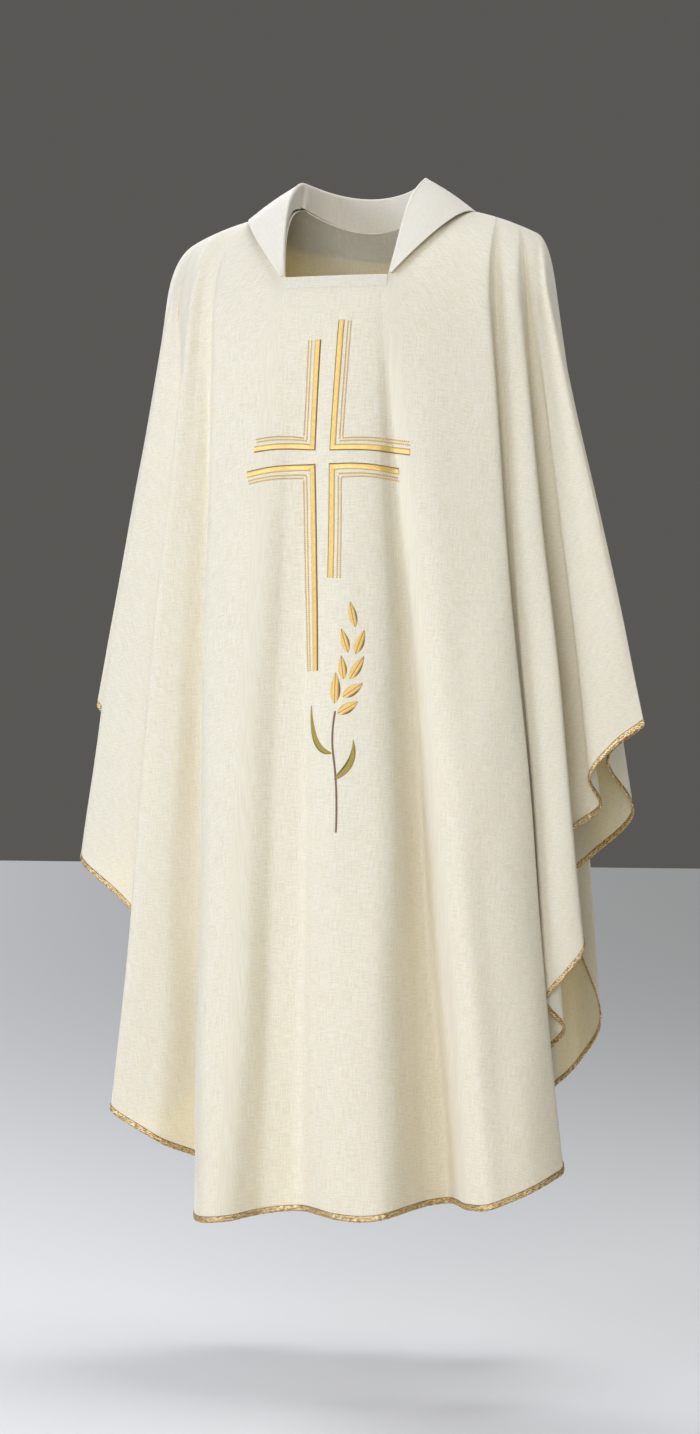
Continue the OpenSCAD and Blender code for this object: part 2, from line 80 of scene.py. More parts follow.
# Fold lines of the cloth, from the wearer's left to the right: place on the shoulder line,
# shift in depth at chest height, then x, y and z at the hem.
FRONT_FOLDS = [
    [215, -72, 364, -86, -645], [210, -45, 330, -88, -672], [204, -32, 298, -84, -711],
    [200, -24, 308, -60, -745], [198, -18, 274, -52, -770], [196, -13, 248, -66, -797],
    [193.5, -20, 265, -86, -855], [191, -30, 302, -119, -915], [183, -21, 284, -125, -940],
    [175, -9, 257, -124, -975], [173, -6, 277, -105, -1010], [171, -6, 254, -98, -1035],
    [169.5, -8, 221, -110, -1065], [168, -14, 250, -128, -1125], [166, -23, 279, -147, -1173],
    [158, -18, 272, -162, -1179], [145, -12, 257, -177, -1188], [120, -6, 229, -191, -1202],
    [98, -3, 205, -201, -1211], [82, -1.8, 179, -187, -1214], [70, -0.6, 153, -146, -1215],
    [65, 0, 132, -122, -1216], [62, 0, 117, -136, -1217], [58, -0.6, 105, -170, -1219],
    [52, -1.6, 92, -200, -1222], [46, -2, 80, -209, -1225], [31, -2.4, 50, -213, -1229],
    [9, -2.4, 20, -210, -1228], [-15, -1.4, -10, -186, -1226], [-32, -0.4, -36, -155, -1227],
    [-42, -0.5, -62, -157, -1229], [-50, -0.8, -85, -164, -1232], [-56, -1, -99, -178, -1234],
    [-65, -1.4, -114, -191, -1237], [-82, -1.8, -135, -195, -1239],
    [-115, -3, -160, -184, -1241],
    [-140, -6, -176, -154, -1240], [-148, 10, -157, -98, -1210], [-154, 12, -186, -50, -1187],
    [-163, 6, -248, -92, -1156], [-175, -8, -303, -90, -1120], [-180, 4, -268, -58, -1118],
    [-186, 8, -226, -48, -1095], [-191, 12, -198, -34, -1035], [-194, 9, -244, -32, -925],
    [-199, 6, -293, -34, -873], [-205, 0, -370, -8, -811], [-208, 6, -308, 12, -796],
    [-211, 8, -276, 24, -739], [-213, 5, -316, 36, -680], [-215, 0, -360, 34, -621],
]
BACK_FOLDS = [
    [215, -72, 364, -86, -645], [212, -36, 306, -6, -692], [205, 2, 328, 60, -757],
    [199, -2, 270, 84, -810], [196, -6, 238, 80, -838], [193, -8, 232, 92, -872],
    [184, 6, 274, 122, -1030], [168, 8, 240, 146, -1072], [152, -10, 180, 100, -1140],
    [128, 6, 206, 160, -1188], [95, 6, 145, 178, -1220], [82, 2, 120, 168, -1226],
    [65, -6, 92, 146, -1230], [40, -2, 52, 160, -1236], [5, 6, 8, 186, -1240],
    [-32, -5, -46, 150, -1240], [-65, 0, -95, 168, -1238], [-82, 4, -118, 180, -1234],
    [-112, 4, -172, 172, -1222], [-140, 0, -236, 142, -1180], [-154, -10, -196, 94, -1135],
    [-168, 4, -262, 108, -1060], [-182, 8, -308, 92, -985], [-192, -8, -236, 66, -890],
    [-201, 4, -330, 68, -800], [-209, -3, -286, 50, -710], [-215, 0, -360, 34, -621],
]


# ---------------------------------------------------------------- numbers
def lerp(a, b, t):
    return a + (b - a) * t


def smooth(k):
    k = np.clip(k, 0, 1)
    return k * k * (3 - 2 * k)


def unit(v):
    return v / np.maximum(np.linalg.norm(v, axis=-1, keepdims=True), 1e-9)


def hermite(knots, rows, at):
    """Smooth curve through rows at the given knots, read at the places in at."""
    gaps = np.diff(knots)
    slopes = np.diff(rows, axis=0) / gaps[:, None]
    turns = np.empty_like(rows)
    before, after = gaps[:-1, None], gaps[1:, None]
    turns[1:-1] = (slopes[1:] * before + slopes[:-1] * after) / (before + after)
    turns[0], turns[-1] = slopes[0], slopes[-1]
    i = np.clip(np.searchsorted(knots, at, "right") - 1, 0, len(gaps) - 1)
    g = gaps[i][:, None]
    t = ((at - knots[i]) / gaps[i])[:, None]
    return (
        (2 * t**3 - 3 * t**2 + 1) * rows[i]
        + (t**3 - 2 * t**2 + t) * g * turns[i]
        + (3 * t**2 - 2 * t**3) * rows[i + 1]
        + (t**3 - t**2) * g * turns[i + 1]
    )


def along(points):
    """Distance along a line of points, from its first one."""
    steps = np.linalg.norm(np.diff(points, axis=0), axis=-1)
    return np.concatenate([[0], np.cumsum(steps)])


# ---------------------------------------------------------------- the hanging cloth
def side_of(x):
    """Share of the shoulder's half width, from 0 at the middle to 1 at its end."""
    return np.minimum(np.abs(x) / SHOULDER_HALF, 1)


def seam_z(x):
    """Height of the shoulder seam."""
    a = side_of(x)
    return -SHOULDER_FALL * (0.14 * a + 0.86 * a**3)


def plan(a):
    """Share of the body's depth at a share a of the shoulder's half width."""
    return np.sqrt(np.maximum(1 - a**ROUND, 0))


class Panel:
    """The front or back cloth. A column runs on a curve from the shoulder seam to chest height,
    then straight to the hem."""

    def __init__(self, folds, is_front):
        self.folds = np.array(folds, float)
        self.is_front = is_front
        chords = np.linalg.norm(np.diff(self.folds[:, 2:], axis=0), axis=1)
        self.knots = np.concatenate([[0], np.cumsum(np.maximum(chords, 12))])

    def places(self, step, beside_neck=14):
        """Places along the hem about a step apart, with every fold line among them."""
        out = []
        for i, (a, b) in enumerate(zip(self.knots[:-1], self.knots[1:])):
            ends = {abs(self.folds[i, 0]), abs(self.folds[i + 1, 0])}
            least = beside_neck if ends == {NECK_FRONT_HALF, NECK_HALF} else 3
            n = max(least, round((b - a) / step))
            out += list(a + (b - a) * np.arange(n) / n)
        return np.array(out + [self.knots[-1]])

    def columns(self, at):
        """Five points of each column: top, two handles, chest and hem."""
        fold = hermite(self.knots, self.folds, at)
        x, shift, hem = fold[:, 0], fold[:, 1], fold[:, 2:]
        a = side_of(x)
        depth = -CHEST_DEPTH if self.is_front else BACK_DEPTH
        mid = CHEST_Z if self.is_front else BACK_Z
        flare = np.where(x > 0, LEFT_FLARE, RIGHT_FLARE)
        top = np.stack([x, 0 * x, seam_z(x)], -1)
        out = depth * plan(a)
        chest_z = mid + (SIDE_Z - mid) * a**2
        chest = np.stack([x * (1 + flare * a**2), out + shift, chest_z], -1)
        rise = (top - chest)[:, 2:]
        slope = (chest - hem) / (chest - hem)[:, 2:]
        first = lerp(top, chest, HANDLE)
        first[:, 1] = HANDLE * out
        first[:, 2] = top[:, 2] - 0.06 * rise[:, 0]
        return np.stack([top, first, chest + slope * CALM * rise / 2, chest, hem], 1)

    def edge_z(self, x):
        """Height of the neck opening's edge, or far above the cloth outside it."""
        a = np.abs(x)
        if self.is_front:
            slant = -NECK_FRONT_DROP * (NECK_HALF - a) / (NECK_HALF - NECK_FRONT_HALF)
            edge = np.where(a <= NECK_FRONT_HALF + 1e-6, -NECK_FRONT_DROP, slant)
        else:
            edge = -NECK_BACK_DROP * (1 - (a / NECK_HALF) ** 2)
        return np.where(a < NECK_HALF - 1e-6, edge, NO_EDGE)

    def grid(self, columns, top_rows=TOP_ROWS, skirt_rows=SKIRT_ROWS, seam=0.003):
        """The cloth's middle surface, as rows of points from the top to the hem."""
        edge = self.edge_z(columns[:, 0, 0])
        start = np.maximum(bend_at(columns, edge), seam)
        start = np.where(edge == NO_EDGE, seam, start)
        top = [bend(columns, lerp(start, 1, j / top_rows)) for j in range(top_rows)]
        end = columns[:, 4] + unit(columns[:, 3] - columns[:, 4])
        skirt = [lerp(columns[:, 3], end, j / skirt_rows) for j in range(skirt_rows + 1)]
        return np.array(top + skirt)

    @property
    def turn(self):
        """Side of the grid that faces outwards."""
        return 1 if self.is_front else -1


def bend(columns, p):
    """Points at a share p of each column's curve, from its top to chest height."""
    c, p = columns, np.asarray(p)[:, None]
    q = 1 - p
    return c[:, 0] * q**3 + 3 * c[:, 1] * p * q**2 + 3 * c[:, 2] * p**2 * q + c[:, 3] * p**3


def bend_at(columns, z):
    """How far along its curve each column passes a height."""
    low, high = np.zeros(len(columns)), np.ones(len(columns))
    for _ in range(24):
        mid = (low + high) / 2
        above = bend(columns, mid)[:, 2] > z
        low, high = np.where(above, mid, low), np.where(above, high, mid)
    return low


def normals(grid, turn):
    """Unit normals of a grid of points, outwards when turn suits the grid's order."""
    down = np.gradient(grid, axis=0)
    across = np.gradient(grid, axis=1)
    return unit(np.cross(across, down)) * turn


# Soft unevenness of the whole garment: a few long waves through the space it hangs in,
# so that layers near each other, and what is sewn on them, move together.
SWAY_TOP = -140
SWAY_GROWTH = 420
rng = np.random.default_rng(11)
WAVES = []
for length, swing in ((230, 1.5), (150, 1.1), (105, 0.8), (70, 0.45)):
    for _ in range(4):
        heading = rng.uniform(0, 2 * math.pi)
        k = 2 * math.pi / length
        wave = np.array([math.cos(heading), math.sin(heading), rng.uniform(-0.22, 0.22)]) * k
        push = rng.uniform(0, 2 * math.pi)
        phase = rng.uniform(0, 6.28)
        WAVES.append((wave, phase, swing * np.array([math.cos(push), math.sin(push), 0.0])))


def sway(points):
    """Move points with the soft unevenness, which grows from the shoulders down."""
    points = np.asarray(points, float)
    grow = smooth((SWAY_TOP - points[..., 2:]) / SWAY_GROWTH)
    out = points.copy()
    for wave, phase, swing in WAVES:
        out += grow * np.sin(points @ wave + phase)[..., None] * swing
    return out


# ---------------------------------------------------------------- meshes
def make_piece(name, points, faces, uv, mat, node, sharp=40):
    """A mesh object in the part's frame: points in mm, one uv in metres for each point."""
    mesh = bpy.data.meshes.new(name)
    mesh.from_pydata((sway(points) * MM).tolist(), [], faces)
    layer = mesh.uv_layers.new(name="UVMap")
    corner = np.empty(len(mesh.loops), np.int32)
    mesh.loops.foreach_get("vertex_index", corner)
    layer.data.foreach_set("uv", np.asarray(uv, np.float32)[corner].ravel())
    mesh.shade_smooth()
    mesh.set_sharp_from_angle(angle=math.radians(sharp))
    mesh.materials.append(mat)
    mesh.validate()
    piece = bpy.data.objects.new(name, mesh)
    bpy.context.scene.collection.objects.link(piece)
    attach(piece, "root")
    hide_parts(node)
    return piece


def grid_faces(rows, cols, start=0):
    """Quads of a grid of points, row by row."""
    j, i = np.meshgrid(np.arange(rows - 1), np.arange(cols - 1), indexing="ij")
    a = (j * cols + i).ravel() + start
    return np.stack([a, a + cols, a + cols + 1, a + 1], -1)


def rim_faces(rows, cols, size):
    """Quads that close the border between a grid and its copy, size points further on."""
    top = np.arange(cols)
    right = np.arange(rows) * cols + cols - 1
    bottom = np.arange(cols)[::-1] + (rows - 1) * cols
    left = np.arange(rows)[::-1] * cols
    out = []
    for line in (top, right, bottom, left):
        a, b = line[:-1], line[1:]
        out.append(np.stack([a, b, b + size, a + size], -1))
    return np.concatenate(out)


def sheet_mesh(outer, inner):
    """Points, faces and flat coordinates of a thin closed sheet between two grids."""
    rows, cols, _ = outer.shape
    size = rows * cols
    faces = grid_faces(rows, cols)
    points = np.concatenate([outer.reshape(-1, 3), inner.reshape(-1, 3)])
    every = np.concatenate([faces, faces[:, ::-1] + size, rim_faces(rows, cols, size)])
    across = np.linalg.norm(np.diff(outer, axis=1), axis=-1)
    u = np.concatenate([np.zeros((rows, 1)), np.cumsum(across, 1)], 1)
    u -= u[:, cols // 2][:, None]
    down = np.linalg.norm(np.diff(outer, axis=0), axis=-1)
    v = np.concatenate([np.zeros((1, cols)), np.cumsum(down, 0)], 0)
    uv = np.stack([u, -v], -1).reshape(-1, 2) * MM
    return points, every.tolist(), np.concatenate([uv, uv])


def sheet_piece(name, grid, turn, offset, thickness, mat, node):
    """A thin sheet whose middle lies an offset outside a grid."""
    n = normals(grid, turn)
    outer, inner = grid + n * (offset + thickness / 2), grid + n * (offset - thickness / 2)
    if turn < 0:
        points, faces, uv = sheet_mesh(outer, inner)
    else:
        points, faces, uv = sheet_mesh(outer[:, ::-1], inner[:, ::-1])
    return make_piece(name, points, faces, uv, mat, node)


def sweep_mesh(rings, uv):
    """A closed sweep through rings of points, with flat ends. uv has one pair for each point."""
    count, n, _ = rings.shape
    a = (np.arange(count - 1)[:, None] * n + np.arange(n)[None]).ravel()
    b = (np.arange(count - 1)[:, None] * n + (np.arange(n) + 1)[None] % n).ravel()
    sides = np.stack([a, b, b + n, a + n], -1).tolist()
    ends = [list(range(n))[::-1], [(count - 1) * n + k for k in range(n)]]
    return rings.reshape(-1, 3), sides + ends, uv.reshape(-1, 2)


# ---------------------------------------------------------------- materials
class Nodes:
    """A material being built, with short ways to add and link its nodes."""

    def __init__(self, name):
        self.mat = bpy.data.materials.new(name)
        self.mat.use_nodes = True
        self.tree = self.mat.node_tree
        self.shader = self.tree.nodes["Principled BSDF"]

    def add(self, kind, inputs=None, **settings):
        node = self.tree.nodes.new(kind)
        for key, value in settings.items():
            setattr(node, key, value)
        self.put(node, inputs or {})
        return node

    def put(self, node, inputs):
        for key, value in inputs.items():
            if isinstance(value, bpy.types.NodeSocket):
                self.tree.links.new(value, node.inputs[key])
            else:
                node.inputs[key].default_value = value

    def flat(self):
        return self.add("ShaderNodeUVMap").outputs["UV"]

    def noise(self, where, size_u, size_v, detail=2.0, rough=0.5, spin=0.0):
        """Noise with grains of the given size in mm along u and v."""
        scaled = self.add(
            "ShaderNodeMapping",
            {"Vector": where, "Rotation": (0, 0, spin), "Scale": (1000 / size_u, 1000 / size_v, 1)},
        )
        return self.add(
            "ShaderNodeTexNoise",
            {"Vector": scaled.outputs[0], "Scale": 1.0, "Detail": detail, "Roughness": rough},
        ).outputs["Fac"]

    def wave(self, where, period, direction, spin=0.0, distort=0.0):
        """Even ridges with a period in mm."""
        turned = self.add("ShaderNodeMapping", {"Vector": where, "Rotation": (0, 0, spin)})
        return self.add(
            "ShaderNodeTexWave",
            {
                "Vector": turned.outputs[0],
                "Scale": 1000 * 2 * math.pi / (20 * period),
                "Distortion": distort,
                "Detail": 1.0,
            },
            bands_direction=direction,
        ).outputs["Fac"]

    def math(self, kind, a, b=0.0):
        return self.add("ShaderNodeMath", {0: a, 1: b}, operation=kind).outputs[0]

    def ramp(self, fac, stops):
        node = self.add("ShaderNodeValToRGB", {"Fac": fac})
        ramp = node.color_ramp
        while len(ramp.elements) < len(stops):
            ramp.elements.new(0.5)
        for element, (place, colour) in zip(ramp.elements, stops):
            element.position, element.color = place, (*colour, 1)
        return node.outputs["Color"]

    def mix(self, fac, a, b):
        node = self.add("ShaderNodeMix", {0: fac, 6: a, 7: b}, data_type="RGBA")
        return node.outputs[2]

    def span(self, value, to_min, to_max, from_min=0.0, from_max=1.0):
        """A value moved from one range to another, and kept inside it."""
        inputs = {"Value": value, "From Min": from_min, "From Max": from_max}
        inputs.update({"To Min": to_min, "To Max": to_max})
        return self.add("ShaderNodeMapRange", inputs).outputs[0]

    def part(self, vector, axis):
        return self.add("ShaderNodeSeparateXYZ", {0: vector}).outputs[axis]

    def bump(self, height, strength, mm, normal=None):
        inputs = {"Height": height, "Strength": strength, "Distance": mm * MM}
        if normal is not None:
            inputs["Normal"] = normal
        return self.add("ShaderNodeBump", inputs).outputs[0]

    def finish(self, **inputs):
        self.put(self.shader, {k.replace("_", " "): v for k, v in inputs.items()})
        return self.mat


def rgb(r, g, b):
    """A linear colour from screen values of 0 to 255."""
    return tuple(
        (c / 255 / 12.92) if c < 11 else ((c / 255 + 0.055) / 1.055) ** 2.4 for c in (r, g, b)
    )


def cloth_material(name, light, dark, thread=0.9):
    """Fine plain weave with slubs along both threads."""
    m = Nodes(name)
    uv = m.flat()
    weft = m.noise(uv, 16, 1.1)
    warp = m.noise(uv, 1.1, 22)
    fleck = m.noise(uv, 2.4, 2.0, 3.0, 0.6)
    slubs = m.math("ADD", weft, warp)
    grain = m.math("MULTIPLY", m.math("ADD", slubs, fleck), 0.333)
    colour = m.ramp(grain, [(0.36, dark), (0.60, light)])
    over = m.wave(uv, thread, "X", distort=0.4)
    woven = m.math("MULTIPLY", over, m.wave(uv, thread, "Y", distort=0.4))
    fine = m.bump(woven, 0.25, 0.12)
    normal = m.bump(grain, 0.35, 0.5, fine)
    return m.finish(
        Base_Color=colour,
        Roughness=m.span(grain, 0.78, 0.92),
        Normal=normal,
        Specular_IOR_Level=0.25,
        Sheen_Weight=0.25,
        Sheen_Roughness=0.45,
        Sheen_Tint=(1.0, 0.97, 0.9, 1.0),
        Subsurface_Weight=0.3,
        Subsurface_Radius=(0.004, 0.003, 0.0016),
        Subsurface_Scale=1.0,
    )


def braid_material():
    """Gold lurex braid: a herringbone of metallic thread, with random mottling and painted glints:
    specks of painted highlight, with darker specks between.
    """
    m = Nodes("gold_braid")
    uv = m.flat()
    slant = m.wave(uv, 2.3, "X", spin=0.9, distort=1.2)
    other = m.wave(uv, 2.3, "X", spin=-0.9, distort=1.2)
    weave = m.math("MAXIMUM", slant, other)
    mottle = m.noise(uv, 6, 3, 4.0, 0.65)
    fine = m.noise(uv, 0.8, 0.8, 2.0)
    # painted glints: specks of painted highlight in the colour, standing in for light caught by the
    # metal thread
    painted_glint = m.noise(uv, 4.5, 2.2, 4.0, 0.75)
    tone = m.math("ADD", m.math("MULTIPLY", weave, 0.3), m.math("MULTIPLY", mottle, 0.6))
    tone = m.math("ADD", tone, m.math("MULTIPLY", m.math("SUBTRACT", painted_glint, 0.5), 1.9))
    shades = [(96, 70, 32), (172, 138, 78), (214, 184, 124), (250, 234, 192)]
    stops = [(place, rgb(*shade)) for place, shade in zip((0.2, 0.42, 0.6, 0.76), shades)]
    colour = m.ramp(tone, stops)
    # darker along the braid's upper edge, next to the cloth
    top_edge_dark = m.span(m.part(uv, "Y"), 0.8, 0.0, 0.4 * MM, 1.1 * MM)
    colour = m.mix(top_edge_dark, colour, (*rgb(104, 74, 36), 1))
    relief = m.math("ADD", weave, m.math("MULTIPLY", fine, 0.4))
    return m.finish(
        Base_Color=colour,
        Metallic=0.6,
        Roughness=m.span(mottle, 0.32, 0.62),
        Normal=m.bump(relief, 0.7, 0.35),
        Specular_IOR_Level=0.5,
    )


def thread_material(name, bright, mid, edge, dark=(-8, -9), rib=0.0, rim=0.0):
    """Satin stitch: fine shiny threads across the shape. u is the place across it: where it passes
    the two mm in dark the thread turns to the edge colour, a rib of that width in mm lies at 0, and
    towards rim mm from 0 both sides darken with painted shade, as on a rounded band."""
    m = Nodes(name)
    uv = m.flat()
    threads = m.wave(uv, 0.45, "Y", spin=0.35, distort=0.8)
    shift = m.noise(uv, 3, 5, 3.0, 0.6)
    tone = m.math("ADD", m.math("MULTIPLY", threads, 0.4), m.math("MULTIPLY", shift, 0.6))
    colour = m.ramp(tone, [(0.25, mid), (0.7, bright)])
    across = m.part(uv, "X")
    masks = [m.span(across, 0.0, 1.0, dark[0] * MM, dark[1] * MM)]
    if rib:
        masks.append(m.span(m.math("ABSOLUTE", across), 0.85, 0.0, rib * 0.35 * MM, rib * MM))
    # painted shade: both sides of a rounded band darken towards its edges
    if rim:
        masks.append(m.span(m.math("ABSOLUTE", across), 0.0, 0.5, rim * 0.6 * MM, rim * MM))
    for mask in masks:
        colour = m.mix(mask, colour, (*edge, 1))
    return m.finish(
        Base_Color=colour,
        Roughness=m.span(shift, 0.28, 0.5),
        Normal=m.bump(threads, 0.5, 0.15),
        Specular_IOR_Level=0.6,
        Sheen_Weight=0.3,
        Sheen_Roughness=0.3,
        Metallic=0.25,
    )


ivory = cloth_material("ivory_cloth", rgb(232, 223, 199), rgb(213, 201, 166))
# painted light: a lighter copy of the same ivory cloth, so the collar reads as more brightly lit;
# the seam tapes share it
painted_lit_ivory = cloth_material("collar_cloth", rgb(239, 229, 206), rgb(226, 214, 184))
gold = braid_material()
BROWN = (112, 74, 30)
# each thread: bright, middle and edge colours, then where it darkens
THREADS = {
    # the gold band's brown edge on the cross-gap side is partly an outline thread and partly
    # painted shade; its darker sides are painted shade
    "gold_thread": [(248, 216, 128), (218, 176, 86), BROWN, {"dark": (-2.0, -3.4), "rim": 4.0}],
    "kernel_thread": [
        (244, 212, 124), (206, 158, 68), (136, 90, 30), {"dark": (-2.4, -4.8), "rib": 0.6},
    ],
    "line_thread": [(226, 186, 78), (190, 146, 44), BROWN, {}],
    "olive_thread": [(178, 156, 58), (126, 110, 38), (64, 56, 20), {"dark": (0.8, 3.2)}],
    "stem_thread": [(146, 108, 78), (108, 76, 54), (74, 62, 34), {"dark": (0.4, 1.0)}],
}
gold_thread, kernel_thread, line_thread, olive_thread, stem_thread = (
    thread_material(name, rgb(*bright), rgb(*mid), rgb(*edge), **where)
    for name, (bright, mid, edge, where) in THREADS.items()
)

# ---------------------------------------------------------------- front and back
front = Panel(FRONT_FOLDS, True)
back = Panel(BACK_FOLDS, False)
front_grid = front.grid(front.columns(front.places(COLUMN_STEP)))
back_grid = back.grid(back.columns(back.places(COLUMN_STEP)))
front_cloth = sheet_piece(
    "front_cloth", front_grid, front.turn, 0, CLOTH_T, ivory, "front_panel"
)
back_cloth = sheet_piece(
    "back_cloth", back_grid, back.turn, 0, CLOTH_T, ivory, "back_panel"
)


# ---------------------------------------------------------------- hem braid
def braid_ring():
    """Section of the braid, folded over the edge: distance up from the hem, and out from the
    cloth. The second value counts its points that show."""
    outside = [
        (BRAID_W, 0.75), (6.9, 1.15), (5.6, 1.35), (3.8, 1.42), (2.0, 1.38), (0.8, 1.2), (0.1, 0.8),
    ]
    fold = [(-0.2, 0.0)]
    inside = [(d, -o) for d, o in reversed(outside)]
    lining = [(7.3, -0.5), (1.1, -0.5), (1.1, 0.5), (7.3, 0.5)]
    return np.array(outside + fold + inside + lining), len(outside) * 2 + 1


def make_braid(name, panel, node):
    step = 0.9
    columns = panel.columns(np.arange(panel.knots[0], panel.knots[-1], step))
    chest, hem = columns[:, 3], columns[:, 4]
    down = unit(hem - chest)
    line = np.stack([lerp(chest, hem, 0.995), hem])
    n = normals(line, panel.turn)[1]
    s = along(hem)
    section, shown = braid_ring()
    d, o = section[:, 0], section[:, 1]
    slant = s[:, None] + np.abs(d[None] - BRAID_W / 2) * 0.9
    ridge = 0.17 * np.sin(2 * math.pi * slant / BRAID_PITCH)
    ridge[:, shown:] = 0
    out = o[None] + np.sign(o)[None] * ridge
    rings = hem[:, None] - down[:, None] * d[None, :, None] + n[:, None] * out[..., None]
    around = np.concatenate([[0], np.cumsum(np.linalg.norm(np.diff(section, axis=0), axis=1))])
    uv = np.stack(np.broadcast_arrays(s[:, None], around[None]), -1) * MM
    if not panel.is_front:
        rings, uv = rings[::-1], uv[::-1]
    points, faces, flat = sweep_mesh(rings, uv)
    return make_piece(name, points, faces, flat, gold, node, sharp=60)


front_braid = make_braid("front_hem_trim", front, "front_hem_braid")
back_braid = make_braid("back_hem_trim", back, "back_hem_braid")


# ---------------------------------------------------------------- neck and shoulders
def strip_grid(panel, x_max, down, step=4.0):
    """Part of a panel's surface near the neck edge: one row for each distance down from it."""
    at = panel.places(step)
    columns = panel.columns(at)
    columns = columns[np.abs(columns[:, 0, 0]) <= x_max + 1e-6]
    edge = panel.edge_z(columns[:, 0, 0])
    return np.array([bend(columns, bend_at(columns, edge - d)) for d in down])


def make_neck_band():
    """A band of the cloth turned over the straight front edge and stitched down outside."""
    # from inside the cloth over its edge to the outside: distance down, then out from the cloth
    inside = [(9, -1.0), (6, -1.0), (3, -1.0), (1.0, -1.05), (0.2, -1.0)]
    over = [(0.0, -0.6), (0.0, 0.6)]
    outside = [
        (0.2, 1.0), (1.0, 1.1), (2.5, 1.1), (5, 1.05), (8, 1.05), (11, 1.05), (13, 1.0),
        (NECK_BAND_H, 0.8),
    ]
    down, out = np.array(inside + over + outside).T
    grid = strip_grid(front, NECK_FRONT_HALF, down)
    n = normals(strip_grid(front, NECK_FRONT_HALF, np.linspace(0.0, 30, 7)), front.turn)[2]
    lift = np.zeros(len(down))
    lift[len(inside) : len(inside) + len(over)] = 0.5
    middle = grid + n[None] * out[:, None, None]
    middle[..., 2] += lift[:, None]
    across = unit(np.gradient(middle, axis=1))
    path = unit(np.gradient(middle, axis=0))
    skin = unit(np.cross(across, path)) * 0.28
    outer, inner = middle + skin, middle - skin
    points, faces, uv = sheet_mesh(outer, inner)
    return make_piece("neck_band", points, faces, uv, ivory, "front_neck_band")


neck_band = make_neck_band()
facing = sheet_piece(
    "neck_facing",
    strip_grid(back, NECK_HALF - 6, np.linspace(0, FACING_H, 12)),
    back.turn,
    -(CLOTH_T / 2 + 0.6),
    0.8,
    ivory,
    "back_neck_facing",
)


def make_tape(name, side, node):
    """A flat tape under one shoulder seam."""
    x = np.linspace(NECK_HALF + 8, SHOULDER_HALF - 14, 40)
    y = np.linspace(-7, 7, 9)
    across, deep = np.meshgrid(x, y)
    grid = np.stack([side * across, deep, seam_z(across) - 2.4 - 0.004 * deep**2], -1)
    return sheet_piece(name, grid, side, 0, 0.8, painted_lit_ivory, node)


left_tape = make_tape("left_seam_tape", 1, "left_shoulder_tape")
right_tape = make_tape("right_seam_tape", -1, "right_shoulder_tape")


# ---------------------------------------------------------------- collar
def body_y(x, z, is_front):
    """Depth of the body that the collar lies on."""
    a = side_of(x)
    mid = CHEST_Z if is_front else BACK_Z
    low = mid + (SIDE_Z - mid) * a**2
    k = np.clip((z - low) / (seam_z(x) - low), 0, 1)
    depth = -CHEST_DEPTH if is_front else BACK_DEPTH
    return depth * plan(a) * np.sqrt(1 - k**2)


